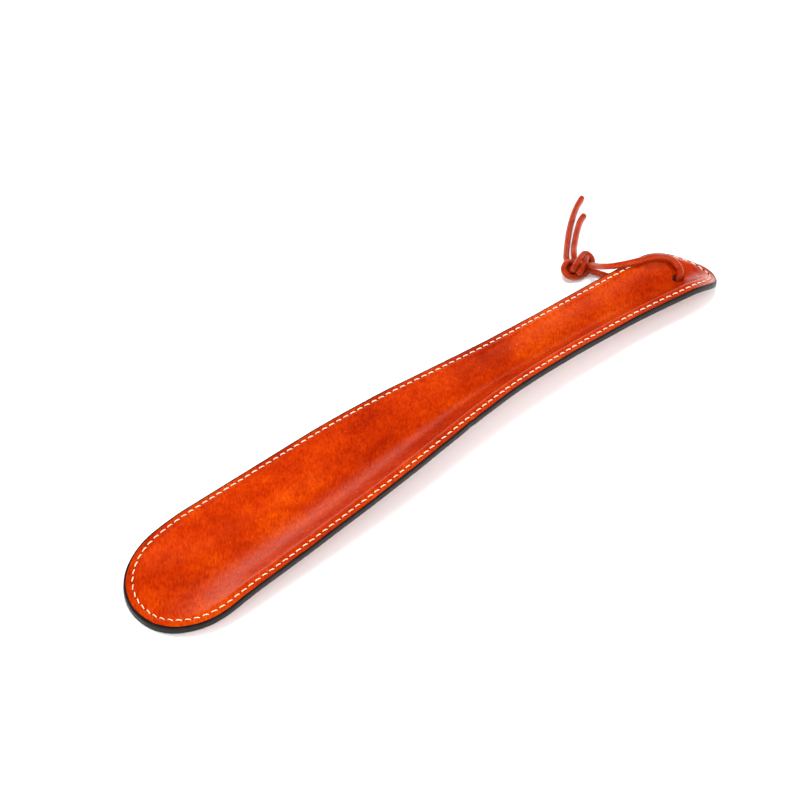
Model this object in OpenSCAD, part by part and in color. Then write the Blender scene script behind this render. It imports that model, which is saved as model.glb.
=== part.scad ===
// Long shoehorn: two leather covers sewn round a sprung steel trough, with a leather lace.
// X runs from the blade tip (-X) to the handle tip (+X), Y across, Z up.
// The open side of the trough faces up, and the lowest point of the blade rests on Z = 0.

/* [Body] */
// Overall length of the leather, blade tip to handle tip
horn_l = 382; // [360:1:400]
// Thickness of each leather cover
leather_t = 2.05; // [1.6:0.05:2.4]
// Thickness of the steel core
core_t = 1.2; // [0.8:0.1:1.5]
// Width of the flat sewn margin outside the core
margin_w = 6.4; // [5.5:0.1:7]
// Depth of the trough below the sewn margin
trough_d = 8.4; // [6:0.1:10]
// Rise of the lengthwise bow between the blade and the handle
bow_h = 8.0; // [4:0.5:10]
// Height of the underside at the lace hole, which lies on the lace
prop_h = 4.2; // [4.1:0.1:5]

/* [Stitching] */
// Distance from the edge to the line of stitches
seam_inset = 3.2; // [2.8:0.1:4]
// Extra distance at the blade tip
blade_inset = 1.6; // [0:0.1:2]
// Number of stitches round the seam on each face
stitch_count = 182; // [160:2:200]
// Length of one visible stitch
stitch_l = 3.1; // [2.5:0.1:3.6]
// Thickness of the waxed thread
thread_d = 0.7; // [0.6:0.1:1]
// Slant of each stitch to the seam line, in degrees
stitch_slant = 10; // [5:1:20]

/* [Edge and hole] */
// Thickness of the black edge coat
coat_t = 0.25; // [0.1:0.05:0.4]
// Bevel of the coated edge
coat_bevel = 0.5; // [0.2:0.1:0.8]
// Diameter of the punched lace hole
hole_d = 6.0; // [5.8:0.1:6.6]
// Distance from the handle tip to the middle of the lace hole
hole_from_tip = 20; // [19:0.5:23]
// Distance of the lace hole from the leaning middle line, towards +Y
hole_side = 0.6; // [0:0.1:1]

/* [Lace] */
// Diameter of the round leather lace
lace_d = 3.8; // [3.4:0.1:3.9]
// Length, width and height of the overhand knot
knot_size = [20, 18, 11];

/* [Hidden] */

leather_col = "orangered";
back_col = "orangered";
edge_col = "dimgray";
thread_col = "antiquewhite";
steel_col = "silver";
lace_col = "tomato";

// Half widths at stations along the length: [distance from the blade tip, half width]
nominal_l = 382;
WIDTHS = [
    [0, 32.3], [48, 32.2], [101, 30.1], [142, 27.9], [178, 24.6], [207, 21.2],
    [237, 18.6], [270, 17.6], [302, 17.6], [330, 18.1], [354, 19.0], [nominal_l, 19.6]
];
blade_cap = 36;          // length of the rounded blade end
blade_power = 2.1;       // 2 is an ellipse, more is squarer
handle_cap = 35;         // length of the rounded handle end
handle_power = 2.4;
blade_ramp = 56;         // the trough reaches its full depth this far from the blade tip
handle_ramp = 29.5;      // and this far from the handle tip
ramp_power = 1.5;
bow_skew = 1.07;         // moves the top of the bow towards the handle
lean_from = 301;         // the last stretch of the handle leans to one side
tip_lean = 5.3;
toe_l = 3;               // only the lower edge of the blade tip touches down
toe_lift = 0.4;
tip_drop_l = 30;         // the handle tip droops over this length
tip_drop = 2.2;
core_inset = 13;         // the core stops this far short of both tips
blade_inset_l = 70;      // the extra inset of the seam fades out over this length
core_fade = 8;           // half width at which the trough has faded in
ridge_soft = 0.08;       // softness of the ridge between trough and margin
probe = 0.05;            // step for measuring slopes

// Grid columns across half the width, as shares of the trough half width
TROUGH_COLS = [0, 0.2, 0.4, 0.58, 0.74, 0.88, 0.97, 1.06];
core_col = 6;            // last column that the core reaches
min_trough_share = 0.5;  // narrowest grid trough, as a share of the half width
max_inner_share = 0.86;  // the columns of the trough end here at the latest

CAP_STEPS = 12;
MID_STEPS = 32;
seam_samples = 240;

function clamp01(t) = max(0, min(1, t));
function ease(t) = let (c = clamp01(t)) c * c * (3 - 2 * c);

// Smooth curve through the width table
function knot_slope(i) = let (
        a = WIDTHS[max(i - 1, 0)],
        b = WIDTHS[min(i + 1, len(WIDTHS) - 1)]
    ) (b[1] - a[1]) / (b[0] - a[0]);
function span_of(x, i = 0) =
    (i >= len(WIDTHS) - 2 || x < WIDTHS[i + 1][0]) ? i : span_of(x, i + 1);
function body_hw(x) = let (
        i = span_of(x),
        h = WIDTHS[i + 1][0] - WIDTHS[i][0],
        t = (x - WIDTHS[i][0]) / h,
        t2 = t * t,
        t3 = t2 * t
    )
    (2 * t3 - 3 * t2 + 1) * WIDTHS[i][1] + (t3 - 2 * t2 + t) * h * knot_slope(i)
    + (3 * t2 - 2 * t3) * WIDTHS[i + 1][1] + (t3 - t2) * h * knot_slope(i + 1);
function cap_share(d, cap, power) = pow(1 - pow(clamp01(1 - d / cap), power), 1 / power);

// s is the distance from the blade tip along X
function half_w(s) = body_hw(s * nominal_l / horn_l)
    * cap_share(s, blade_cap, blade_power)
    * cap_share(horn_l - s, handle_cap, handle_power);
function lean(s) = -tip_lean * pow(clamp01((s - lean_from) / (horn_l - lean_from)), 2);
function underside(s) =
    bow_h * pow(sin(180 * pow(clamp01(s / horn_l), bow_skew)), 2)
    + toe_lift * clamp01(s / toe_l)
    + prop_h * s / (horn_l - hole_from_tip)
    - tip_drop * pow(clamp01((s - horn_l + tip_drop_l) / tip_drop_l), 2);
function ramp(d, l) = pow(sin(90 * clamp01(d / l)), ramp_power);
function depth(s) = trough_d * ramp(s, blade_ramp) * ramp(horn_l - s, handle_ramp);
function margin_z(s) = underside(s) + 2 * leather_t + depth(s)
    + core_t * ease(min(s, horn_l - s) / core_inset);
function trough_hw(s) = half_w(s) - margin_w;

// Height of the show face of the front cover, y measured from the leaning middle line
function softmax0(q) = 0.5 * (q + sqrt(q * q + ridge_soft * ridge_soft));
function face_z(s, y) = let (tw = max(trough_hw(s), 1))
    margin_z(s) - depth(s) * clamp01(trough_hw(s) / core_fade) * softmax0(1 - y * y / (tw * tw));
function slope_len(s, y) =
    let (dz = (face_z(s, y + probe) - face_z(s, y - probe)) / (2 * probe)) sqrt(1 + dz * dz);

// Stations along the length, close together round the two ends
function cap_s(i, cap) = cap * (1 - cos(90 * (i + 0.5) / (CAP_STEPS + 0.5)));
STATIONS = concat(
    [for (i = [0 : CAP_STEPS - 1]) cap_s(i, blade_cap)],
    [for (i = [0 : MID_STEPS])
        blade_cap + (horn_l - blade_cap - handle_cap) * i / MID_STEPS],
    [for (i = [CAP_STEPS - 1 : -1 : 0]) horn_l - cap_s(i, handle_cap)]
);
LAST = len(STATIONS) - 1;
HALF_COLS = len(TROUGH_COLS) + 1;

// Distance from the middle line of grid column j, negative on the -Y side
function col_y(s, j) = let (
        k = abs(j),
        w = half_w(s),
        tw = max(trough_hw(s), min_trough_share * w),
        inner = min(TROUGH_COLS[min(k, len(TROUGH_COLS) - 1)] * tw, max_inner_share * w)
    )
    sign(j) * (k < len(TROUGH_COLS) ? inner : k == len(TROUGH_COLS) ? 0.5 * (inner + w) : w);
function core_at(s) = trough_hw(s) > core_fade && min(s, horn_l - s) > core_inset;
function in_core(s, j) = abs(j) <= core_col && core_at(s);

// Heights of the four faces at a grid point: 0 show face, 1 under the front cover,
// 2 on the back cover, 3 underside
function layer_z(s, j, layer) = let (
        y = col_y(s, j),
        k = slope_len(s, y),
        top = face_z(s, y),
        gap = in_core(s, j) ? core_t : 0
    )
    layer == 0 ? top
    : layer == 1 ? top - leather_t * k
    : layer == 2 ? top - (leather_t + gap) * k
    : top - (2 * leather_t + gap) * k;
function layer_pt(s, j, layer) = [s - horn_l / 2, lean(s) + col_y(s, j), layer_z(s, j, layer)];

// Solid between two faces: one closed ring of points at each station
module skin(first, last, cols, top_layer, bottom_layer) {
    n = 2 * (2 * cols + 1);
    points = [for (i = [first : last]) each concat(
        [for (j = [-cols : cols]) layer_pt(STATIONS[i], j, top_layer)],
        [for (j = [cols : -1 : -cols]) layer_pt(STATIONS[i], j, bottom_layer)]
    )];
    rings = last - first;
    // both faces of a layer split their squares the same way, so that layers meet exactly
    sides = [for (i = [0 : rings - 1], k = [0 : n - 1]) let (
            a = i * n + k,
            b = i * n + (k + 1) % n
        ) each k <= 2 * cols
            ? [[a, b, b + n], [a, b + n, a + n]]
            : [[a, b, a + n], [b, b + n, a + n]]];
    caps = [
        for (k = [0 : cols * 2 - 1]) each [[k, n - 1 - k, n - 2 - k], [k, n - 2 - k, k + 1]],
        for (k = [0 : cols * 2 - 1]) let (o = rings * n)
            each [[o + k, o + n - 2 - k, o + n - 1 - k], [o + k, o + k + 1, o + n - 2 - k]]
    ];
    polyhedron(points, concat(sides, caps));
}

// The hole is punched straight down through the bottom of the trough
hole_s = horn_l - hole_from_tip;
hole_at = [hole_s - horn_l / 2, lean(hole_s) + hole_side];
core_clearance = 0.3;
hole_cut_h = 30;
module lace_hole(d) {
    translate([hole_at[0], hole_at[1], -1])
        cylinder(d = d, h = hole_cut_h, $fn = 48);
}

CORE_STATIONS = [for (i = [0 : LAST]) if (core_at(STATIONS[i])) i];
core_first = CORE_STATIONS[0];
core_last = CORE_STATIONS[len(CORE_STATIONS) - 1];

module front_cover() {
    color(leather_col) difference() {
        skin(0, LAST, HALF_COLS, 0, 1);
        lace_hole(hole_d);
    }
}

module back_cover() {
    color(back_col) difference() {
        skin(0, LAST, HALF_COLS, 2, 3);
        lace_hole(hole_d);
    }
}

module steel_core() {
    color(steel_col) difference() {
        skin(core_first, core_last, core_col, 1, 2);
        lace_hole(hole_d + 2 * core_clearance);
    }
}

// Outline of the covers as one loop: out along -Y, back along +Y
OUTLINE = concat(
    [for (i = [0 : LAST]) [STATIONS[i], -1]],
    [for (i = [LAST : -1 : 0]) [STATIONS[i], 1]]
);
function rim_pt(e, layer) = layer_pt(e[0], e[1] * HALF_COLS, layer);
function loop(list, i) = list[(i + len(list)) % len(list)];
function unit(v) = v / norm(v);
function rim_out(i) = let (
        a = rim_pt(loop(OUTLINE, i - 1), 0),
        b = rim_pt(loop(OUTLINE, i + 1), 0),
        d = unit([b[0] - a[0], b[1] - a[1]])
    ) [d[1], -d[0], 0];

module edge_coat() {
    n = len(OUTLINE);
    points = [for (i = [0 : n - 1]) let (
            top = rim_pt(OUTLINE[i], 0),
            low = rim_pt(OUTLINE[i], 3),
            out = rim_out(i) * coat_t
        ) each [top, top + out - [0, 0, coat_bevel], low + out + [0, 0, coat_bevel], low]];
    faces = [for (i = [0 : n - 1], k = [0 : 3]) let (
            a = i * 4 + k,
            b = i * 4 + (k + 1) % 4,
            c = ((i + 1) % n) * 4 + k,
            d = ((i + 1) % n) * 4 + (k + 1) % 4
        ) each [[a, c, d], [a, d, b]]];
    color(edge_col) polyhedron(points, faces);
}

// Seam line: the outline moved inwards, as a loop of [s, y] pairs with running lengths
function outline_at(t) = let (
        a = 360 * t,
        s = horn_l / 2 * (1 - cos(a))
    ) [s, (t < 0.5 ? -1 : 1) * half_w(s)];
outline_probe = 0.001;   // share of the way round, for the direction of the outline
function inset_at(s) = seam_inset + blade_inset * pow(clamp01(1 - s / blade_inset_l), 2);
function seam_at(t) = let (
        p = outline_at(t),
        a = outline_at(t - outline_probe),
        b = outline_at(t + outline_probe),
        d = unit(b - a)
    ) p + inset_at(p[0]) * [-d[1], d[0]];
SEAM = [for (i = [0 : seam_samples - 1]) seam_at((i + 0.5) / seam_samples)];
function running(list, i = 0, sum = 0, out = []) =
    i >= len(list) ? concat(out, [sum])
    : running(list, i + 1, sum + norm(loop(list, i + 1) - list[i]), concat(out, [sum]));
RUN = running(SEAM);
SEAM_L = RUN[len(SEAM)];
function seam_span(d, lo = 0, hi = len(SEAM)) = let (m = floor((lo + hi) / 2))
    hi - lo <= 1 ? lo : RUN[m] > d ? seam_span(d, lo, m) : seam_span(d, m, hi);
function seam_point(d) = let (
        i = seam_span(d),
        t = (d - RUN[i]) / (RUN[i + 1] - RUN[i])
    ) SEAM[i] + t * (loop(SEAM, i + 1) - SEAM[i]);
function seam_3d(d, layer_drop) = let (
        w = seam_point((d + SEAM_L) % SEAM_L),
        s = w[0]
    ) [s - horn_l / 2, lean(s) + w[1], face_z(s, w[1]) - layer_drop];

// One stitch: a flat bead of thread lying on the leather, slanted to the seam
bead_lift = 0.2;         // keeps a bead clear of the curved leather
module stitch(d, side) {
    layer_drop = side > 0 ? 0 : 2 * leather_t;
    a = seam_3d(d - stitch_l / 2, layer_drop);
    b = seam_3d(d + stitch_l / 2, layer_drop);
    dir = unit(b - a);
    turn = atan2(dir[1], dir[0]) - side * stitch_slant;
    tilt = -asin(dir[2]);
    out = (a + b) / 2 + [0, 0, side * (bead_lift + thread_d / 4)];
    translate(out) rotate([0, tilt, turn])
        cube([stitch_l, thread_d, thread_d / 2], center = true);
}

module stitches(side) {
    color(thread_col)
        for (i = [0 : stitch_count - 1])
            stitch((i + 0.5) * SEAM_L / stitch_count, side);
}

module front_stitching() { stitches(1); }
module back_stitching() { stitches(-1); }

// Lace routes, as points of the lace's middle line. The upper leg comes out of the hole and
// goes over the +Y margin to the knot; the lower leg goes under the horn to the same knot.
UPPER_ROUTE = [
    [171.6, -2.7, 6.8], [171.7, -2.8, 9.0], [172.9, -2.3, 11.5], [174.8, 0.6, 12.7],
    [174.3, 4.5, 15.2], [171.4, 6.9, 17.6], [164.4, 9.5, 20.7], [158.0, 11.5, 21.2],
    [151.1, 14.0, 21.5], [147.1, 15.9, 21.5], [143.4, 18.3, 21.2], [141.4, 22.1, 19.5],
    [141.3, 27.0, 16.4], [142.5, 32.6, 12.6], [142.7, 38.6, 8.6]
];
LOWER_ROUTE = [
    [171.6, -2.7, 6.8], [171.4, -2.7, 5.4], [169.8, -1.2, 2.7], [166.9, 1.6, 2.0],
    [163.2, 6.6, 2.0], [158.6, 13.6, 2.0], [154.0, 21.4, 2.0], [150.7, 29.1, 2.1],
    [147.6, 36.6, 3.0], [145.4, 40.4, 4.2]
];
LONG_TAIL = [
    [142.6, 50.4, 4.0], [144.0, 54.9, 2.4], [148.5, 59.7, 2.0], [154.6, 65.3, 2.0],
    [160.9, 70.8, 2.0], [167.6, 76.0, 2.0], [174.7, 80.9, 2.0], [180.2, 84.0, 2.0],
    [185.3, 86.4, 2.0]
];
SHORT_TAIL = [
    [147.0, 49.0, 4.6], [149.3, 54.6, 2.6], [153.3, 58.9, 2.0], [157.6, 62.6, 2.0],
    [164.1, 67.9, 2.0], [171.2, 72.8, 2.0], [175.7, 74.6, 2.0]
];
KNOT_AT = [142.7, 44.9, 5.6];
knot_turn = 38;
knot_d = 20;
tube_sides = 10;
ring_step = 2;           // rings for each gap between two route points
route_probe = 0.02;      // share of a gap, for the direction of the route
LEG_SIDE = [0.86, 0.5, 0];
TAIL_SIDE = [0, 0, 1];
drawn_hole_x = 171;    // the routes are drawn for a hole at this X
lace_shift = [hole_at[0] - drawn_hole_x, 0, 0];

// Catmull-Rom point on a route, u counted in route points
function route_at(r, u) = let (
        i = min(floor(u), len(r) - 2),
        t = u - i,
        p0 = r[max(i - 1, 0)],
        p1 = r[i],
        p2 = r[i + 1],
        p3 = r[min(i + 2, len(r) - 1)]
    ) 0.5 * (2 * p1 + (p2 - p0) * t + (2 * p0 - 5 * p1 + 4 * p2 - p3) * t * t
        + (3 * p1 - p0 - 3 * p2 + p3) * t * t * t);
function route_dir(r, u) = let (e = route_probe, n = len(r) - 1)
    unit(route_at(r, min(u + e, n)) - route_at(r, max(u - e, 0)));

// Round tube along a route. side is a direction that the route never takes, so it fixes
// where the first corner of every ring lies.
module tube(route, side) {
    rings = ring_step * (len(route) - 1);
    points = [for (i = [0 : rings]) let (
            c = route_at(route, i / ring_step),
            d = route_dir(route, i / ring_step),
            y = unit(cross(d, side)),
            x = cross(d, y)
        ) for (k = [0 : tube_sides - 1])
            c + lace_d / 2 * (x * cos(360 * k / tube_sides) + y * sin(360 * k / tube_sides))];
    sides = [for (i = [0 : rings - 1], k = [0 : tube_sides - 1]) let (
            a = i * tube_sides + k,
            b = i * tube_sides + (k + 1) % tube_sides
        ) each [[a, b, b + tube_sides], [a, b + tube_sides, a + tube_sides]]];
    caps = [
        [for (k = [tube_sides - 1 : -1 : 0]) k],
        [for (k = [0 : tube_sides - 1]) rings * tube_sides + k]
    ];
    color(lace_col) translate(lace_shift) polyhedron(points, concat(sides, caps));
}

module lace_upper_leg() { tube(UPPER_ROUTE, LEG_SIDE); }
module lace_lower_leg() { tube(LOWER_ROUTE, LEG_SIDE); }
module lace_long_tail() { tube(LONG_TAIL, TAIL_SIDE); }
module lace_short_tail() { tube(SHORT_TAIL, TAIL_SIDE); }

// The knot is a plain rounded lump of its outer size
module lace_knot() {
    color(lace_col) translate(KNOT_AT + lace_shift) rotate([0, 0, knot_turn])
        resize(knot_size) sphere(d = knot_d, $fn = 24);
}

front_cover();
steel_core();
back_cover();
edge_coat();
front_stitching();
back_stitching();
lace_upper_leg();
lace_lower_leg();
lace_knot();
lace_long_tail();
lace_short_tail();
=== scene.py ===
"""Long shoehorn: two leather covers saddle stitched round a sprung steel core, black edges, leather lace.

The shape follows the same rules as the CAD model: s runs from the blade tip along +X, y across, in mm.
"""
import math
import random

import bmesh
import bpy
import numpy as np
from mathutils import Matrix, Vector, noise


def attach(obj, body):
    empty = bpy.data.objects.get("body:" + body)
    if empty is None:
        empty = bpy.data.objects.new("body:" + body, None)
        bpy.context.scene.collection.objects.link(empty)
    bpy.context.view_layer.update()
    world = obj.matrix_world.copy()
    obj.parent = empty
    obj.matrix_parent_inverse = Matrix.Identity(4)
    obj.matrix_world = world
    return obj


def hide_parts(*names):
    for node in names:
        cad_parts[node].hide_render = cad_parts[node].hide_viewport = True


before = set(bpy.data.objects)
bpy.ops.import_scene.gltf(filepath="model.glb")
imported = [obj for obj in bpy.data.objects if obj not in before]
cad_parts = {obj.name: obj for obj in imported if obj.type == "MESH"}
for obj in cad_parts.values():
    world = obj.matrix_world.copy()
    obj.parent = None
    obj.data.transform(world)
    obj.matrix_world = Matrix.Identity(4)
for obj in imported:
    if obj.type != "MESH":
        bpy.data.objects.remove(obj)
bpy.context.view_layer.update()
MM = 0.001

# Driving dimensions, in mm, shared with the CAD model
HORN_L = 382.0
LEATHER_T = 2.05
CORE_T = 1.2
MARGIN_W = 6.4
TROUGH_D = 8.4
BOW_H = 8.0
PROP_H = 4.2
SEAM_INSET = 3.2
BLADE_INSET, BLADE_INSET_L = 1.6, 70.0
STITCH_COUNT = 182
STITCH_SLANT = 10.0
HOLE_D = 6.0
HOLE_FROM_TIP = 20.0
HOLE_SIDE = 0.6
LACE_D = 3.8
WIDTHS = [
    (0, 32.3), (48, 32.2), (101, 30.1), (142, 27.9), (178, 24.6), (207, 21.2),
    (237, 18.6), (270, 17.6), (302, 17.6), (330, 18.1), (354, 19.0), (HORN_L, 19.6),
]
BLADE_CAP, BLADE_POWER = 36.0, 2.1
HANDLE_CAP, HANDLE_POWER = 35.0, 2.4
BLADE_RAMP, HANDLE_RAMP, RAMP_POWER = 56.0, 29.5, 1.5
BOW_SKEW = 1.07
LEAN_FROM, TIP_LEAN = 301.0, 5.3
TOE_L, TOE_LIFT = 3.0, 0.4
TIP_DROP_L, TIP_DROP = 30.0, 2.2
CORE_INSET, CORE_FADE = 13.0, 8.0
RIDGE_SOFT = 0.08
MARGIN_FALL = 0.4
HOLE_S = HORN_L - HOLE_FROM_TIP


# ---------------------------------------------------------------- camera

CAM_TARGET = Vector((5.484, 32.595, 0.0))
CAM_AZIMUTH = math.radians(-130.744)
CAM_ELEVATION = math.radians(43.676)
CAM_DISTANCE = 1735.96
CAM_ROLL = math.radians(-0.5185)
CAM_LENS = 151.32


def direction(azimuth, elevation):
    """Unit vector from the object towards a place at these angles, in radians."""
    flat = math.cos(elevation)
    return Vector((flat * math.cos(azimuth), flat * math.sin(azimuth), math.sin(elevation)))


def make_camera():
    back = direction(CAM_AZIMUTH, CAM_ELEVATION)
    data = bpy.data.cameras.new("camera")
    data.lens = CAM_LENS
    data.sensor_width = 36.0
    data.clip_start, data.clip_end = 0.05, 30.0
    cam = bpy.data.objects.new("camera", data)
    cam.location = (CAM_TARGET + back * CAM_DISTANCE) * MM
    turn = (-back).to_track_quat("-Z", "Y").to_matrix()
    cam.rotation_euler = (turn @ Matrix.Rotation(CAM_ROLL, 3, "Z")).to_euler()
    bpy.context.scene.collection.objects.link(cam)
    bpy.context.scene.camera = cam


# ---------------------------------------------------------------- small helpers

def link(name, mesh):
    obj = bpy.data.objects.new(name, mesh)
    bpy.context.scene.collection.objects.link(obj)
    return obj


def mesh_object(name, verts_mm, faces, material, smooth=True):
    mesh = bpy.data.meshes.new(name)
    mesh.from_pydata([tuple(v) for v in np.asarray(verts_mm) * MM], [], faces)
    mesh.update()
    mesh.polygons.foreach_set("use_smooth", [smooth] * len(mesh.polygons))
    obj = link(name, mesh)
    mesh.materials.append(material)
    return obj


def weld(obj, dist):
    bm = bmesh.new()
    bm.from_mesh(obj.data)
    bmesh.ops.remove_doubles(bm, verts=bm.verts, dist=dist)
    bmesh.ops.dissolve_degenerate(bm, edges=bm.edges, dist=dist)
    bmesh.ops.recalc_face_normals(bm, faces=bm.faces)
    bm.to_mesh(obj.data)
    bm.free()
    obj.data.update()


def apply_modifiers(obj):
    bpy.context.view_layer.update()
    deps = bpy.context.evaluated_depsgraph_get()
    mesh = bpy.data.meshes.new_from_object(obj.evaluated_get(deps))
    obj.modifiers.clear()
    obj.data = mesh


def paint(obj, name, values):
    """Stores one number for each vertex, for the materials to read."""
    layer = obj.data.attributes.new(name, "FLOAT", "POINT")
    layer.data.foreach_set("value", np.asarray(values, float))


# ---------------------------------------------------------------- shape of the leather

def clamp01(t):
    return np.clip(t, 0.0, 1.0)


def ease(t):
    c = clamp01(t)
    return c * c * (3 - 2 * c)


def body_half_width(s):
    xs = np.array([w[0] for w in WIDTHS], float)
    ys = np.array([w[1] for w in WIDTHS], float)
    slopes = np.array([
        (ys[min(i + 1, len(xs) - 1)] - ys[max(i - 1, 0)])
        / (xs[min(i + 1, len(xs) - 1)] - xs[max(i - 1, 0)])
        for i in range(len(xs))
    ])
    i = np.clip(np.searchsorted(xs, s, side="right") - 1, 0, len(xs) - 2)
    h = xs[i + 1] - xs[i]
    t = (s - xs[i]) / h
    return (
        (2 * t**3 - 3 * t**2 + 1) * ys[i] + (t**3 - 2 * t**2 + t) * h * slopes[i]
        + (3 * t**2 - 2 * t**3) * ys[i + 1] + (t**3 - t**2) * h * slopes[i + 1]
    )


def cap_share(d, cap, power):
    return (1 - clamp01(1 - d / cap) ** power) ** (1 / power)


def half_width(s):
    return (body_half_width(s) * cap_share(s, BLADE_CAP, BLADE_POWER)
            * cap_share(HORN_L - s, HANDLE_CAP, HANDLE_POWER))


def lean(s):
    return -TIP_LEAN * clamp01((s - LEAN_FROM) / (HORN_L - LEAN_FROM)) ** 2


def underside(s):
    return (BOW_H * np.sin(np.pi * clamp01(s / HORN_L) ** BOW_SKEW) ** 2
            + TOE_LIFT * clamp01(s / TOE_L)
            + PROP_H * s / HOLE_S
            - TIP_DROP * clamp01((s - HORN_L + TIP_DROP_L) / TIP_DROP_L) ** 2)


def ramp(d, length):
    return np.sin(np.pi / 2 * clamp01(d / length)) ** RAMP_POWER


def depth(s):
    return TROUGH_D * ramp(s, BLADE_RAMP) * ramp(HORN_L - s, HANDLE_RAMP)


def margin_z(s):
    return (underside(s) + 2 * LEATHER_T + depth(s)
            + CORE_T * ease(np.minimum(s, HORN_L - s) / CORE_INSET))


def trough_half_width(s):
    return half_width(s) - MARGIN_W


def face_z(s, y):
    """Height of the show face; y is measured from the leaning middle line."""
    tw = np.maximum(trough_half_width(s), 1.0)
    q = 1 - (y / tw) ** 2
    share = 0.5 * (q + np.sqrt(q * q + RIDGE_SOFT**2))
    return margin_z(s) - depth(s) * clamp01(trough_half_width(s) / CORE_FADE) * share


def slope_factor(s, y, probe=0.05):
    dz = (face_z(s, y + probe) - face_z(s, y - probe)) / (2 * probe)
    return np.sqrt(1 + dz * dz)


def core_gap(s, y):
    """Room that the core takes between the covers."""
    tw = np.maximum(trough_half_width(s), 1.0)
    across = clamp01((1.06 - np.abs(y) / tw) / 0.09)
    along = clamp01((np.minimum(s, HORN_L - s) - CORE_INSET) / 2.5)
    return CORE_T * across * along


# ---------------------------------------------------------------- outline, seam and rings

# Places of the samples inside one stitch pitch, crowded round the awl hole at its start
PITCH_STEPS = [0.0, 0.06, 0.13, 0.26, 0.5, 0.74, 0.87, 0.94]
HALF_STITCHES = STITCH_COUNT // 2


def outline_half():
    """Dense -Y half of the outline from the blade tip to the handle tip, and its inward normals."""
    a = np.linspace(0, np.pi, 6001)
    s = HORN_L / 2 * (1 - np.cos(a))
    y = -half_width(s)
    ds, dy = np.gradient(s), np.gradient(y)
    n = np.hypot(ds, dy)
    inward = np.stack([-dy / n, ds / n], 1)
    inward[0], inward[-1] = (1, 0), (-1, 0)
    return np.stack([s, y], 1), inward


def seam_inset(s):
    return SEAM_INSET + BLADE_INSET * clamp01(1 - s / BLADE_INSET_L) ** 2


def perimeter():
    """Points round the outline, evenly placed along the seam, with inward normals and seam phase."""
    edge, inward = outline_half()
    seam = edge + seam_inset(edge[:, 0])[:, None] * inward
    run = np.concatenate([[0], np.cumsum(np.hypot(*np.diff(seam, axis=0).T))])
    pitch = run[-1] / HALF_STITCHES
    phase = np.array([i + f for i in range(HALF_STITCHES) for f in PITCH_STEPS] + [HALF_STITCHES])
    along = phase * pitch
    half = np.stack([np.interp(along, run, edge[:, k]) for k in (0, 1)], 1)
    normal = np.stack([np.interp(along, run, inward[:, k]) for k in (0, 1)], 1)
    normal /= np.linalg.norm(normal, axis=1)[:, None]
    back = slice(len(half) - 2, 0, -1)
    mirror = np.array([1, -1])
    return (
        np.concatenate([half, half[back] * mirror]),
        np.concatenate([normal, normal[back] * mirror]),
        np.concatenate([phase, STITCH_COUNT - phase[back]]),
        pitch,
    )


EDGE, INWARD, PHASE, PITCH = perimeter()
COUNT = len(EDGE)
STRETCH = seam_inset(EDGE[:, 0]) / SEAM_INSET      # the rings spread out with the seam
FINE_RINGS = [0.0, 0.15, 0.35, 0.6, 0.9, 1.3, 1.8, 2.3, 2.65, 2.9, 3.1, 3.3, 3.5, 3.75, 4.1,
              4.6, 5.2, 5.8, 6.3, 6.8, 7.5]
COARSE_RINGS = [0.0, 3.2, 6.2, 7.5]
FINE_SHARES = [0.05, 0.11, 0.18, 0.26, 0.35, 0.45, 0.56, 0.67, 0.78, 0.89, 1.0]
COARSE_SHARES = [0.2, 0.45, 0.7, 1.0]
SPINE_FROM, SPINE_TO = 34.0, HORN_L - 19.0


def soft_noise(points, size, seed):
    """Smooth noise from -1 to 1 with features of about the given size, in mm."""
    offset = Vector((seed * 17.3, seed * 5.1, seed * 9.7))
    return np.array([noise.noise(Vector(p) / size + offset) for p in points])


def edge_wobble():
    """How far the hand-cut edge strays from its line, for each outline point."""
    pts = [(p[0], p[1], 0.0) for p in EDGE]
    slow = soft_noise(pts, 26.0, 1)
    fast = soft_noise(pts, 7.0, 2)
    nick_s, nick_half = 196.0, 2.2
    nick = np.where(EDGE[:, 1] < 0, np.exp(-((EDGE[:, 0] - nick_s) / nick_half) ** 2), 0.0)
    return 0.16 * slow + 0.06 * fast - 0.35 * nick


WOBBLE = edge_wobble()


def ring_grid(rings, shares):
    """(s, y) of every grid point: rings inwards from the outline, then shares of the way to the spine."""
    out = []
    for d in rings:
        fade = math.exp(-d / 1.5)
        out.append(EDGE + (d * STRETCH - WOBBLE * fade)[:, None] * INWARD)
    last = EDGE + (rings[-1] * STRETCH)[:, None] * INWARD
    spine = np.stack([np.clip(last[:, 0], SPINE_FROM, SPINE_TO), np.zeros(COUNT)], 1)
    for f in shares:
        out.append(last + f * (spine - last))
    return np.stack(out)


def edge_drop(d):
    """The leather rolls down into the coated edge."""
    radius = 0.4
    r = np.clip(radius - d, 0, radius)
    return radius - np.sqrt(radius**2 - r**2)


def seam_relief(d):
    """Depth of the stitched groove and its awl holes, at distance d from the edge; the awl-hole mask it
    also returns is used as painted shade.
    """
    across = d - SEAM_INSET
    groove = 0.22 * np.exp(-(across / 0.75) ** 2)
    to_hole = (PHASE - np.round(PHASE)) * PITCH
    tilt = math.tan(math.radians(35))
    hole = np.exp(-((to_hole + across * tilt) / 0.32) ** 2 - (across / 0.3) ** 2)
    pull = np.exp(-(to_hole / 1.1) ** 2 - (across / 1.0) ** 2)
    return groove + 0.6 * hole + 0.12 * pull, hole


def leather_waves(s, y):
    """Slight unevenness of leather pulled over the core."""
    pts = np.stack([s, y, np.zeros_like(s)], 1)
    return 0.10 * soft_noise(pts, 30.0, 3) + 0.045 * soft_noise(pts, 11.0, 4)


def hole_lip(s, y):
    """The rim of the lace hole is pressed down by the lace."""
    r = np.hypot(s - HOLE_S, y - HOLE_SIDE)
    return 0.5 * np.clip(1 - (r - HOLE_D / 2) / 1.6, 0, 1) ** 2


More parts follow.
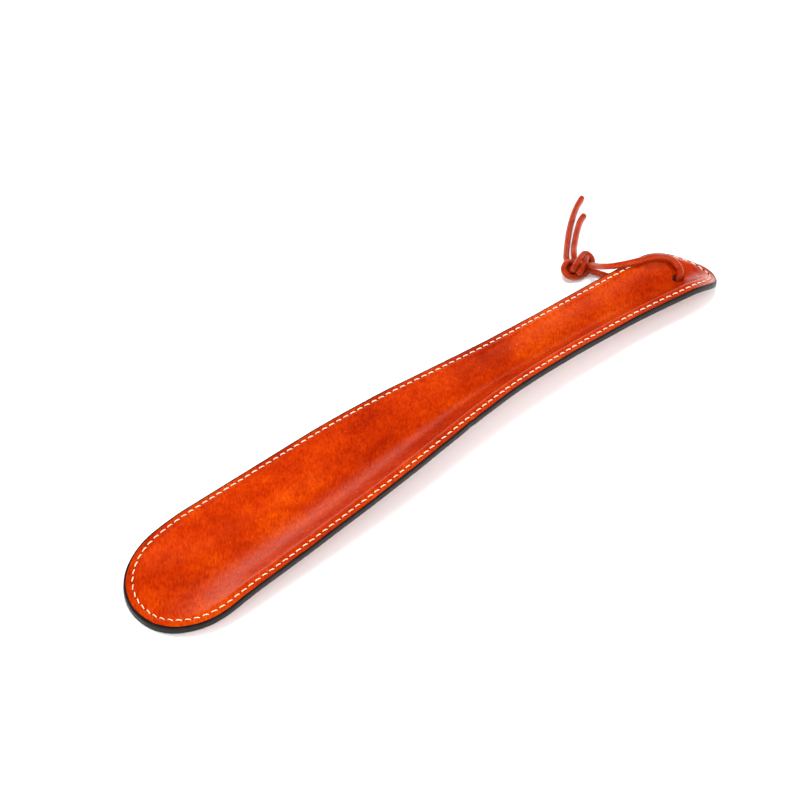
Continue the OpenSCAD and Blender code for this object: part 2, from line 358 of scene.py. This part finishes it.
def cover_surface(grid, rings, height, side, fine):
    """Points of one face of a cover. side is 1 for the upper face of a pair and -1 for the lower."""
    verts, dark = [], []
    for k, ring in enumerate(grid):
        s, y = ring[:, 0], ring[:, 1]
        d = rings[k] if k < len(rings) else rings[-1] + 50
        drop, hole = np.zeros(COUNT), np.zeros(COUNT)
        if fine:
            relief, hole = seam_relief(d)
            fade = min(1.0, d / 1.5)
            drop = edge_drop(d) + relief + hole_lip(s, y) - fade * leather_waves(s, y)
        z = height(s, y) - side * drop
        verts.append(np.stack([s - HORN_L / 2, y + lean(s), z], 1))
        # dark collects the awl-hole mask; the leather reads it as painted shade in the awl holes.
        dark.append(hole)
    return np.concatenate(verts), np.concatenate(dark)


def worn_face(height, side, s, y, d):
    """Height of a finished show face near the edge, with its roll-off and waves."""
    wave = min(1.0, d / 1.5) * leather_waves(np.array([s]), np.array([y]))[0]
    return float(height(s, y)) - side * (float(edge_drop(np.float64(d))) - wave)


def grid_faces(ring_count, start, flip):
    faces = []
    for r in range(ring_count - 1):
        for i in range(COUNT):
            j = (i + 1) % COUNT
            a, b = start + r * COUNT + i, start + r * COUNT + j
            c, d = b + COUNT, a + COUNT
            faces.append((a, d, c, b) if flip else (a, b, c, d))
    return faces


def cover(name, node, show, hidden, side, material):
    """A closed leather shell: detailed show face, plain hidden face, and the wall between them."""
    fine = ring_grid(FINE_RINGS, FINE_SHARES)
    coarse = ring_grid(COARSE_RINGS, COARSE_SHARES)
    top, dark = cover_surface(fine, FINE_RINGS, show, side, True)
    low, _ = cover_surface(coarse, COARSE_RINGS, hidden, side, False)
    faces = grid_faces(len(fine), 0, side < 0) + grid_faces(len(coarse), len(top), side > 0)
    for i in range(COUNT):
        j = (i + 1) % COUNT
        quad = (i, len(top) + i, len(top) + j, j)
        faces.append(quad if side > 0 else quad[::-1])
    obj = mesh_object(name, np.concatenate([top, low]), faces, material)
    # The awl-hole mask goes to the 'hole' attribute, for the painted shade in the leather.
    paint(obj, "hole", np.concatenate([dark, np.zeros(len(low))]))
    weld(obj, 1e-6)
    punch = punch_tool(HOLE_D)
    cut = obj.modifiers.new("punch", "BOOLEAN")
    cut.object, cut.operation, cut.solver = punch, "DIFFERENCE", "EXACT"
    apply_modifiers(obj)
    bpy.data.objects.remove(punch)
    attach(obj, "root")
    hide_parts(node)


def punch_tool(diameter, sides=64, low=-5.0, high=30.0):
    ring = [(math.cos(2 * math.pi * i / sides), math.sin(2 * math.pi * i / sides)) for i in range(sides)]
    x, y, r = HOLE_S - HORN_L / 2, float(lean(HOLE_S)) + HOLE_SIDE, diameter / 2
    verts = [(x + r * c, y + r * k, z) for z in (low, high) for c, k in ring]
    faces = [(i, (i + 1) % sides, sides + (i + 1) % sides, sides + i) for i in range(sides)]
    faces += [tuple(range(sides - 1, -1, -1)), tuple(range(sides, 2 * sides))]
    mesh = bpy.data.meshes.new("punch")
    mesh.from_pydata([tuple(c * MM for c in v) for v in verts], [], faces)
    return link("punch", mesh)


def front_show(s, y):
    """Show face of the front cover; its sewn margin falls a little towards the edge."""
    out = clamp01((np.abs(y) - np.maximum(trough_half_width(s), 1.0)) / MARGIN_W)
    return face_z(s, y) - MARGIN_FALL * out**2


def front_hidden(s, y):
    return face_z(s, y) - LEATHER_T * slope_factor(s, y)


def back_hidden(s, y):
    return face_z(s, y) - (LEATHER_T + core_gap(s, y)) * slope_factor(s, y)


def back_show(s, y):
    return face_z(s, y) - (2 * LEATHER_T + core_gap(s, y)) * slope_factor(s, y)


# ---------------------------------------------------------------- edge and stitches

EDGE_STEP = 2                      # the coat takes every second point of the outline
LAP_W, LAP_VARY = 0.8, 0.18        # how far the paint laps over each face
PAINT_BULGE, BULGE_VARY = 0.24, 0.05
GROOVE_VARY = 0.15                 # the groove between the covers wanders up and down
GROOVE_HALF, LIP_HALF, GROOVE_DEEP = 0.1, 0.45, 0.05
SHOULDER, SHOULDER_DROP = 0.12, 0.5
FLANK_SHARE, FLANK_DROP = 0.8, 0.9
INNER_D, INNER_DROP = 1.3, 1.2     # the hidden inner corners of the bead


def edge_coat(material):
    """Black burnished edge: a rounded bead all round the outline that laps over both faces."""
    idx = np.arange(0, COUNT, EDGE_STEP)
    pts = [(EDGE[i][0], EDGE[i][1], 0.0) for i in idx]
    lap_noise = soft_noise(pts, 9.0, 5)
    low_noise = soft_noise(pts, 9.0, 6)
    groove_noise = soft_noise(pts, 14.0, 7)
    out_noise = soft_noise(pts, 4.0, 8)
    rows = []
    for n, i in enumerate(idx):
        start = EDGE[i] - WOBBLE[i] * INWARD[i]
        top, low = float(front_show(*start)), float(back_show(*start))
        mid = 0.5 * (top + low) + GROOVE_VARY * groove_noise[n]
        bulge = PAINT_BULGE + BULGE_VARY * out_noise[n]
        laps = []
        for side, height, lap in ((1, front_show, LAP_W + LAP_VARY * lap_noise[n]),
                                  (-1, back_show, LAP_W + LAP_VARY * low_noise[n])):
            # (distance from the edge, thickness of the paint film there)
            film_rows = (
                (lap, -0.02), (0.9 * lap, 0.05), (0.65 * lap, 0.08),
                (0.3, 0.09), (0.13, 0.1), (0.03, 0.14),
            )
            part = []
            for d, film in film_rows:
                q = start + d * STRETCH[i] * INWARD[i]
                part.append((d * STRETCH[i], worn_face(height, side, q[0], q[1], d) + side * film))
            laps.append(part)
        # profile as (distance inwards, height), over the top, down the wall, under the bottom
        profile = laps[0] + [
            (-SHOULDER, top - SHOULDER_DROP), (-bulge * FLANK_SHARE, top - FLANK_DROP),
            (-bulge, mid + LIP_HALF), (-bulge + GROOVE_DEEP, mid + GROOVE_HALF),
            (-bulge + GROOVE_DEEP, mid - GROOVE_HALF), (-bulge, mid - LIP_HALF),
            (-bulge * FLANK_SHARE, low + FLANK_DROP), (-SHOULDER, low + SHOULDER_DROP),
        ] + laps[1][::-1] + [(INNER_D, low + INNER_DROP), (INNER_D, top - INNER_DROP)]
        row = []
        for inward, z in profile:
            p = start + inward * INWARD[i]
            row.append((p[0] - HORN_L / 2, p[1] + float(lean(p[0])), z))
        rows.append(row)
    n, m = len(rows), len(rows[0])
    faces = []
    for i in range(n):
        for k in range(m):
            a, b = i * m + k, i * m + (k + 1) % m
            c, d = ((i + 1) % n) * m + (k + 1) % m, ((i + 1) % n) * m + k
            faces.append((a, b, c, d))
    obj = mesh_object("edge_paint", [p for row in rows for p in row], faces, material)
    weld(obj, 1e-7)
    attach(obj, "root")
    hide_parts("edge_coat")


def seam_frame(phase):
    """Point on the seam at a stitch phase, and the direction of the seam there, in (s, y)."""
    order = np.argsort(PHASE, kind="stable")
    seam = EDGE + (SEAM_INSET * STRETCH)[:, None] * INWARD
    xs = np.concatenate([PHASE[order], [STITCH_COUNT]])
    pts = np.concatenate([seam[order], seam[order][:1]])

    def at(p):
        return np.array([np.interp(p % STITCH_COUNT, xs, pts[:, k]) for k in (0, 1)])

    a, b = at(phase - 0.2), at(phase + 0.2)
    return at(phase), (b - a) / np.linalg.norm(b - a)


STITCH_HALF = 1.62                  # half length of a stitch
THREAD_W, THREAD_H = 0.26, 0.25    # half width and half height of the thread
THREAD_PLY = 0.13                  # how far its two plies stand out
THREAD_TWIST = 2.1                 # turn of the plies for each mm, in radians
STITCH_STEPS, STITCH_SIDES = 10, 10


def stitch_rows(phase, height, side, rng):
    """Rings of points of one stitch: a two-ply thread that rises out of one hole and into the next."""
    centre, along = seam_frame(phase)
    turn = math.radians(-side * STITCH_SLANT + rng.uniform(-3.0, 3.0))
    c, k = math.cos(turn), math.sin(turn)
    along = np.array([c * along[0] - k * along[1], k * along[0] + c * along[1]])
    across = np.array([-along[1], along[0]])
    half = STITCH_HALF + rng.uniform(-0.08, 0.08)
    shift = rng.uniform(-0.06, 0.06)
    fat = 1 + rng.uniform(-0.05, 0.05)
    rows = []
    for i in range(STITCH_STEPS + 1):
        u = -1 + 2 * i / STITCH_STEPS
        p = centre + (u * half) * along + shift * across
        ground = float(height(p[0], p[1])) - side * 0.2
        lift = 0.34 * (1 - abs(u) ** 3.2) - 0.42 * abs(u) ** 5
        end = max(0.28, 1 - 0.55 * abs(u) ** 6)
        twist = u * half * THREAD_TWIST
        row = []
        for j in range(STITCH_SIDES):
            a = 2 * math.pi * j / STITCH_SIDES
            ply = 1 + THREAD_PLY * math.cos(2 * (a - twist))
            w = THREAD_W * fat * end * ply * math.cos(a)
            h = THREAD_H * fat * end * ply * math.sin(a)
            q = p + w * across
            row.append((q[0] - HORN_L / 2, q[1] + float(lean(q[0])), ground + side * (lift + h)))
        rows.append(row)
    return rows


def stitching(name, node, height, side, material):
    rng = random.Random(11 if side > 0 else 12)
    verts, faces = [], []
    for i in range(STITCH_COUNT):
        rows = stitch_rows(i + 0.5, height, side, rng)
        start, m = len(verts), len(rows[0])
        for row in rows:
            verts.extend(row)
        for r in range(len(rows) - 1):
            for k in range(m):
                a, b = start + r * m + k, start + r * m + (k + 1) % m
                faces.append((a, b, b + m, a + m) if side > 0 else (a, a + m, b + m, b))
        last = start + (len(rows) - 1) * m
        ends = [tuple(range(start + m - 1, start - 1, -1)), tuple(range(last, last + m))]
        faces.extend(ends if side > 0 else [e[::-1] for e in ends])
    obj = mesh_object(name, verts, faces, material)
    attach(obj, "root")
    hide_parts(node)


# ---------------------------------------------------------------- lace

# Points of the lace's middle line, in mm. Each strand runs from the hole through the knot to its tail.
UPPER_LEG = [
    (171.6, -2.7, 6.8), (171.7, -2.8, 9.0), (172.9, -2.3, 11.5), (174.8, 0.6, 12.7),
    (174.3, 4.5, 15.2), (171.4, 6.9, 17.6), (164.4, 9.5, 20.7), (158.0, 11.5, 21.2),
    (151.1, 14.0, 21.5), (147.1, 15.9, 21.5), (143.4, 18.3, 21.2), (141.4, 22.1, 19.5),
    (141.3, 27.0, 16.4), (142.5, 32.6, 12.6),
]
LOWER_LEG = [
    (171.6, -2.7, 6.8), (171.4, -2.7, 5.4), (169.8, -1.2, 2.7), (166.9, 1.6, 2.0),
    (163.2, 6.6, 2.0), (158.6, 13.6, 2.0), (154.0, 21.4, 2.0), (150.7, 29.1, 2.1),
]
LONG_TAIL = [
    (144.0, 54.9, 2.4), (148.5, 59.7, 2.0), (154.6, 65.3, 2.0), (160.9, 70.8, 2.0),
    (167.6, 76.0, 2.0), (174.7, 80.9, 2.0), (180.2, 84.0, 2.0), (185.3, 86.4, 2.0),
]
SHORT_TAIL = [
    (149.3, 54.6, 2.6), (153.3, 58.9, 2.0), (157.6, 62.6, 2.0),
    (164.1, 67.9, 2.0), (171.2, 72.8, 2.0), (175.7, 74.6, 2.0),
]
KNOT_AT = Vector((142.7, 44.9, 5.2))
# The overhand knot, seen from the front: (to the right, up the view, height above the table)
KNOT_OVER = [
    (5.0, -0.7, 6.4), (1.3, -0.5, 4.7), (-3.4, 1.4, 5.5), (-6.4, 0.4, 7.0), (-7.7, -2.9, 6.2),
    (-5.5, -6.3, 4.3), (-0.8, -6.8, 3.0), (4.2, -4.7, 2.3), (7.7, -0.5, 3.3), (7.4, 3.8, 6.4),
    (4.0, 5.9, 8.6), (0.5, 2.2, 9.6), (-2.4, -2.5, 8.1), (-3.0, -3.1, 4.5), (-4.2, 0.4, 2.1),
]
KNOT_UNDER = [
    (5.9, -3.1, 2.8), (2.2, -2.3, 1.9), (-2.5, 0.2, 2.6), (-5.5, -0.9, 3.8), (-6.2, -3.6, 3.1),
    (-3.7, -5.0, 1.9), (0.0, -4.1, 1.8), (3.9, -1.4, 1.9), (6.2, 2.2, 3.0), (6.2, 4.3, 5.2),
    (4.7, 3.2, 7.9), (2.9, -0.7, 8.1), (0.5, -4.5, 6.4), (-0.3, -3.2, 3.6), (-1.2, 0.9, 1.9),
]
# The lace is drawn thin by the knot: (distance from the hole, share of its full diameter)
LACE_DRAW = [(0, 1.05), (28, 1.02), (52, 0.90), (75, 0.87), (160, 0.86), (215, 0.82)]
LACE_STEP, LACE_SIDES = 0.8, 18
LACE_CLEAR = 0.03                  # gap between the lace and the table


def knot_points(table):
    """Places of a knot table's points, which are given as seen by the camera."""
    right = Vector((-math.sin(CAM_AZIMUTH), math.cos(CAM_AZIMUTH), 0))
    back = direction(CAM_AZIMUTH, CAM_ELEVATION)
    up = back.cross(right)
    out = []
    for a, b, z in table:
        c = (z - KNOT_AT.z - up.z * b) / back.z
        out.append(tuple(KNOT_AT + right * a + up * b + back * c))
    return out


def smooth_path(points, step):
    """Catmull-Rom curve through the points, sampled about every step mm."""
    pts = [Vector(p) for p in points]
    out = []
    for i in range(len(pts) - 1):
        p0, p1, p2, p3 = pts[max(i - 1, 0)], pts[i], pts[i + 1], pts[min(i + 2, len(pts) - 1)]
        n = max(2, round((p2 - p1).length / step))
        for k in range(n):
            t = k / n
            out.append(0.5 * (2 * p1 + (p2 - p0) * t + (2 * p0 - 5 * p1 + 4 * p2 - p3) * t * t
                              + (3 * p1 - p0 - 3 * p2 + p3) * t**3))
    out.append(pts[-1])
    return out


def lace_strand(name, route, nodes, material, seed):
    """A round leather lace swept along its route, slightly uneven, with plain cut ends."""
    path = smooth_path(route, LACE_STEP)
    steps = [(b - a).length for a, b in zip(path, path[1:])]
    drawn = np.interp(np.concatenate([[0], np.cumsum(steps)]), *zip(*LACE_DRAW)) * LACE_D / 2
    for p, r in zip(path, drawn):
        p.z = max(p.z - (LACE_D / 2 - r), r + LACE_CLEAR)
    sides = LACE_SIDES
    normal = Vector((0.86, 0.5, 0.0))
    offset = Vector((seed * 3.7, 0.0, 0.0))
    verts = []
    for i, p in enumerate(path):
        a, b = path[max(i - 1, 0)], path[min(i + 1, len(path) - 1)]
        d = (b - a).normalized()
        normal = (normal - d * normal.dot(d)).normalized()
        other = d.cross(normal)
        slow = 1 + 0.02 * noise.noise(p / 9.0 + offset)
        for k in range(sides):
            ang = 2 * math.pi * k / sides
            ray = normal * math.cos(ang) + other * math.sin(ang)
            q = p + ray * drawn[i]
            r = drawn[i] * slow + 0.05 * noise.noise(q * 1.3 + offset) + 0.03 * noise.noise(q * 3.1)
            verts.append(p + ray * r)
    n = len(path)
    faces = [
        (i * sides + k, i * sides + (k + 1) % sides,
         (i + 1) * sides + (k + 1) % sides, (i + 1) * sides + k)
        for i in range(n - 1) for k in range(sides)
    ]
    faces.append(tuple(range(sides - 1, -1, -1)))
    faces.append(tuple(range((n - 1) * sides, n * sides)))
    obj = mesh_object(name, [tuple(v) for v in verts], faces, material)
    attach(obj, "root")
    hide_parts(*nodes)


# ---------------------------------------------------------------- materials

def new_material(name):
    mat = bpy.data.materials.new(name)
    mat.use_nodes = True
    nodes, links = mat.node_tree.nodes, mat.node_tree.links
    shader = nodes["Principled BSDF"]
    return mat, nodes, links, shader


def object_coords(nodes, links, scale, turn=0.0):
    """Object coordinates, turned about Z and then in units of mm times scale, one number or three."""
    coords = nodes.new("ShaderNodeTexCoord")
    mapping = nodes.new("ShaderNodeMapping")
    mapping.vector_type = "TEXTURE"
    mapping.inputs["Rotation"].default_value = (0.0, 0.0, turn)
    factors = scale if isinstance(scale, tuple) else (scale, scale, scale)
    mapping.inputs["Scale"].default_value = [MM / f for f in factors]
    links.new(coords.outputs["Object"], mapping.inputs["Vector"])
    return mapping.outputs["Vector"]


def noise_node(nodes, links, size_mm, detail=4.0, rough=0.55, stretch=(1, 1, 1), turn=0.0):
    tex = nodes.new("ShaderNodeTexNoise")
    tex.inputs["Scale"].default_value = 1.0
    tex.inputs["Detail"].default_value = detail
    tex.inputs["Roughness"].default_value = rough
    vec = object_coords(nodes, links, tuple(1 / (size_mm * k) for k in stretch), turn)
    links.new(vec, tex.inputs["Vector"])
    return tex.outputs["Fac"]


def ramp_node(nodes, links, fac, stops):
    node = nodes.new("ShaderNodeValToRGB")
    while len(node.color_ramp.elements) < len(stops):
        node.color_ramp.elements.new(0.5)
    for element, (pos, col) in zip(node.color_ramp.elements, stops):
        element.position = pos
        element.color = (*col, 1.0) if len(col) == 3 else col
    links.new(fac, node.inputs["Fac"])
    return node.outputs["Color"]


def mix_color(nodes, links, fac, a, b, blend="MIX"):
    node = nodes.new("ShaderNodeMix")
    node.data_type = "RGBA"
    node.blend_type = blend
    for socket, value in ((node.inputs[0], fac), (node.inputs[6], a), (node.inputs[7], b)):
        if isinstance(value, bpy.types.NodeSocket):
            links.new(value, socket)
        elif isinstance(value, (int, float)):
            socket.default_value = value
        else:
            socket.default_value = (*value, 1.0)
    return node.outputs[2]


def bump_chain(nodes, links, shader, layers):
    """Adds bumps of (height socket, distance in mm, strength), one on top of the other."""
    previous = None
    for height, distance, strength in layers:
        bump = nodes.new("ShaderNodeBump")
        bump.inputs["Distance"].default_value = distance * MM
        bump.inputs["Strength"].default_value = strength
        links.new(height, bump.inputs["Height"])
        if previous is not None:
            links.new(previous, bump.inputs["Normal"])
        previous = bump.outputs["Normal"]
    links.new(previous, shader.inputs["Normal"])


def grain_height(nodes, links, size_mm):
    """Fine pebbled leather grain."""
    cells = nodes.new("ShaderNodeTexVoronoi")
    cells.feature = "SMOOTH_F1"
    cells.inputs["Scale"].default_value = 1.0
    cells.inputs["Randomness"].default_value = 1.0
    links.new(object_coords(nodes, links, 1 / size_mm), cells.inputs["Vector"])
    return cells.outputs["Distance"]


def cover_leather(name, stops):
    """Smooth dyed hide: blotchy deep orange, fine slanting grain, pale specks, dark scratches, and
    painted shade in the awl holes.
    """
    mat, nodes, links, shader = new_material(name)
    mottle = noise_node(nodes, links, 26.0, 4.0, 0.55, (1.5, 1.0, 1.0))
    base = ramp_node(nodes, links, mottle, stops)
    blotch = noise_node(nodes, links, 4.5, 5.0, 0.65)
    blotch_tint = ramp_node(nodes, links, blotch, [(0.34, (0.88, 0.74, 0.7)), (0.64, (1.05, 1.16, 1.14))])
    base = mix_color(nodes, links, 1.0, base, blotch_tint, "MULTIPLY")
    fine = noise_node(nodes, links, 0.8, 5.0, 0.7, (1.0, 4.0, 1.0), math.radians(-40))
    fine_tint = ramp_node(nodes, links, fine, [(0.36, (0.72, 0.52, 0.5)), (0.62, (1.12, 1.30, 1.2))])
    base = mix_color(nodes, links, 1.0, base, fine_tint, "MULTIPLY")
    specks = noise_node(nodes, links, 1.3, 2.0, 0.5)
    speck_mask = ramp_node(nodes, links, specks, [(0.75, (0, 0, 0)), (0.79, (1, 1, 1))])
    base = mix_color(nodes, links, speck_mask, base, (0.62, 0.17, 0.06))
    scratch = noise_node(nodes, links, 0.45, 2.0, 0.5, (14.0, 1.0, 1.0))
    scratch_mask = ramp_node(nodes, links, scratch, [(0.68, (0, 0, 0)), (0.76, (0.35, 0.35, 0.35))])
    base = mix_color(nodes, links, scratch_mask, base, (0.26, 0.012, 0.001))
    # Painted shade: the leather is darkened in the awl holes along the seam.
    hole = nodes.new("ShaderNodeAttribute")
    hole.attribute_name = "hole"
    base = mix_color(nodes, links, hole.outputs["Fac"], base, (0.12, 0.008, 0.001))
    links.new(base, shader.inputs["Base Color"])
    gloss = noise_node(nodes, links, 9.0, 4.0, 0.6)
    rough = ramp_node(nodes, links, gloss, [(0.3, (0.20, 0.20, 0.20)), (0.7, (0.28, 0.28, 0.28))])
    links.new(rough, shader.inputs["Roughness"])
    shader.inputs["Specular IOR Level"].default_value = 0.5
    shader.inputs["Specular Tint"].default_value = (1.0, 0.30, 0.10, 1.0)
    bump_chain(nodes, links, shader, [
        (noise_node(nodes, links, 5.0, 3.0, 0.5), 0.12, 0.30),
        (grain_height(nodes, links, 0.75), 0.02, 0.35),
        (noise_node(nodes, links, 0.3, 3.0, 0.6), 0.006, 0.4),
        (scratch, 0.03, 0.25),
    ])
    return mat


def lace_leather():
    """Round lace of the same dye, with rows of fine pores painted bright: painted highlight specks."""
    mat, nodes, links, shader = new_material("lace_leather")
    tone = noise_node(nodes, links, 4.0, 5.0, 0.65)
    base = ramp_node(nodes, links, tone, [
        (0.32, (0.21, 0.009, 0.001)), (0.52, (0.29, 0.019, 0.002)), (0.72, (0.37, 0.035, 0.003)),
    ])
    pores = grain_height(nodes, links, 0.7)
    # Painted highlight: the pores are painted lighter, standing in for small glints, and the grain
    # between them darker.
    pore_glint_tint = ramp_node(nodes, links, pores, [(0.15, (1.2, 1.3, 1.3)), (0.75, (0.66, 0.56, 0.5))])
    base = mix_color(nodes, links, 1.0, base, pore_glint_tint, "MULTIPLY")
    links.new(base, shader.inputs["Base Color"])
    shader.inputs["Roughness"].default_value = 0.36
    shader.inputs["Specular IOR Level"].default_value = 0.5
    shader.inputs["Specular Tint"].default_value = (1.0, 0.5, 0.3, 1.0)
    bump_chain(nodes, links, shader, [
        (pores, 0.10, 0.8),
        (noise_node(nodes, links, 0.35, 4.0, 0.6), 0.03, 0.6),
    ])
    return mat


def edge_paint():
    """Black burnished paint, uneven in tone and gloss."""
    mat, nodes, links, shader = new_material("edge_paint")
    tone = noise_node(nodes, links, 3.0, 5.0, 0.6)
    base = ramp_node(nodes, links, tone, [(0.3, (0.003, 0.002, 0.002)), (0.75, (0.010, 0.007, 0.006))])
    links.new(base, shader.inputs["Base Color"])
    rough = ramp_node(nodes, links, noise_node(nodes, links, 2.0, 4.0, 0.6),
                      [(0.3, (0.30, 0.30, 0.30)), (0.7, (0.48, 0.48, 0.48))])
    links.new(rough, shader.inputs["Roughness"])
    shader.inputs["Specular IOR Level"].default_value = 0.14
    bump_chain(nodes, links, shader, [
        (noise_node(nodes, links, 1.6, 4.0, 0.6), 0.15, 0.5),
        (noise_node(nodes, links, 0.4, 3.0, 0.6, (8.0, 8.0, 1.0)), 0.04, 0.5),
    ])
    return mat


def waxed_thread():
    """Pale waxed linen with fine fibres."""
    mat, nodes, links, shader = new_material("waxed_thread")
    tone = noise_node(nodes, links, 2.2, 4.0, 0.6)
    base = ramp_node(nodes, links, tone, [
        (0.3, (0.62, 0.42, 0.25)), (0.55, (0.80, 0.60, 0.40)), (0.8, (0.88, 0.72, 0.54)),
    ])
    links.new(base, shader.inputs["Base Color"])
    shader.inputs["Roughness"].default_value = 0.62
    shader.inputs["Sheen Weight"].default_value = 0.15
    fibres = noise_node(nodes, links, 0.12, 3.0, 0.6, (5.0, 5.0, 1.0))
    bump_chain(nodes, links, shader, [(fibres, 0.03, 0.6)])
    return mat


def core_steel():
    """Plain spring steel with rolling streaks along its length."""
    mat, nodes, links, shader = new_material("core_steel")
    streak = noise_node(nodes, links, 0.4, 3.0, 0.5, (40.0, 1.0, 1.0))
    base = ramp_node(nodes, links, streak, [(0.3, (0.42, 0.43, 0.45)), (0.7, (0.60, 0.61, 0.63))])
    links.new(base, shader.inputs["Base Color"])
    shader.inputs["Metallic"].default_value = 1.0
    rough = ramp_node(nodes, links, streak, [(0.3, (0.28, 0.28, 0.28)), (0.7, (0.42, 0.42, 0.42))])
    links.new(rough, shader.inputs["Roughness"])
    bump_chain(nodes, links, shader, [(streak, 0.02, 0.4)])
    return mat


# ---------------------------------------------------------------- stage and light

FLOOR_HALF = 8.0


def make_stage():
    mesh = bpy.data.meshes.new("floor")
    h = FLOOR_HALF
    mesh.from_pydata([(-h, -h, 0), (h, -h, 0), (h, h, 0), (-h, h, 0)], [], [(0, 1, 2, 3)])
    floor = link("floor", mesh)
    mat, nodes, links, shader = new_material("floor")
    tone = ramp_node(nodes, links, noise_node(nodes, links, 60.0),
                     [(0.3, (0.93, 0.93, 0.93)), (0.7, (0.95, 0.95, 0.95))])
    links.new(tone, shader.inputs["Base Color"])
    shader.inputs["Roughness"].default_value = 0.9
    shader.inputs["Specular IOR Level"].default_value = 0.1
    mesh.materials.append(mat)


def area_light(name, azimuth, elevation, distance, size, power, glossy=True):
    """A square softbox that looks at the middle of the object from that direction."""
    data = bpy.data.lights.new(name, "AREA")
    data.shape, data.size = "SQUARE", size
    data.energy = power
    light = bpy.data.objects.new(name, data)
    way = direction(math.radians(azimuth), math.radians(elevation))
    light.location = way * distance
    light.rotation_euler = (-way).to_track_quat("-Z", "Y").to_euler()
    light.visible_camera = False
    light.visible_glossy = glossy
    bpy.context.scene.collection.objects.link(light)


def make_world():
    """White low down all round, dim overhead, as in a studio with white walls."""
    world = bpy.data.worlds.new("studio")
    bpy.context.scene.world = world
    world.use_nodes = True
    nodes, links = world.node_tree.nodes, world.node_tree.links
    coords = nodes.new("ShaderNodeTexCoord")
    split = nodes.new("ShaderNodeSeparateXYZ")
    links.new(coords.outputs["Generated"], split.inputs[0])
    tone = ramp_node(nodes, links, split.outputs["Z"], [
        (0.0, (1.0, 1.0, 1.0)), (0.36, (1.0, 1.0, 1.0)),
        (0.62, (0.03, 0.03, 0.03)), (1.0, (0.0, 0.0, 0.0)),
    ])
    links.new(tone, nodes["Background"].inputs["Color"])
    nodes["Background"].inputs["Strength"].default_value = 1.6


def make_lights():
    make_world()
    area_light("key", 65, 86, 2.0, 0.9, 43.0, glossy=False)
    area_light("fill_left", 180, 40, 2.0, 1.8, 14.0, glossy=False)
    area_light("fill_right", -50, 40, 2.0, 1.8, 16.0, glossy=False)
    area_light("fill_front", -131, 30, 2.2, 2.0, 36.0, glossy=False)
    area_light("glint", -131, 48, 2.2, 1.2, 3.5)
    view = bpy.context.scene.view_settings
    view.view_transform = "Standard"
    view.look = "None"


# ---------------------------------------------------------------- build

make_camera()
lace_mat = lace_leather()
lace_strand(
    "lace_over", UPPER_LEG + knot_points(KNOT_OVER) + LONG_TAIL,
    ("lace_upper_leg", "lace_long_tail", "lace_knot"), lace_mat, 1)
lace_strand(
    "lace_under", LOWER_LEG + knot_points(KNOT_UNDER) + SHORT_TAIL,
    ("lace_lower_leg", "lace_short_tail"), lace_mat, 2)

cover("front_leather", "front_cover", front_show, front_hidden, 1, cover_leather("front_hide", [
    (0.32, (0.26, 0.011, 0.0004)), (0.50, (0.37, 0.022, 0.0005)), (0.70, (0.46, 0.041, 0.0006)),
]))
# The back cover is the same leather painted about 0.6 times darker: painted shade on the underside, which
# also dims the orange light it bounces onto the floor below.
cover("back_leather", "back_cover", back_show, back_hidden, -1, cover_leather("back_hide_painted_darker", [
    (0.32, (0.16, 0.009, 0.0006)), (0.50, (0.22, 0.015, 0.0008)), (0.70, (0.28, 0.026, 0.001)),
]))
edge_coat(edge_paint())
thread = waxed_thread()
stitching("front_stitches", "front_stitching", front_show, 1, thread)
stitching("back_stitches", "back_stitching", back_show, -1, thread)
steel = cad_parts["steel_core"]
steel.data.materials.clear()
steel.data.materials.append(core_steel())

make_stage()
make_lights()
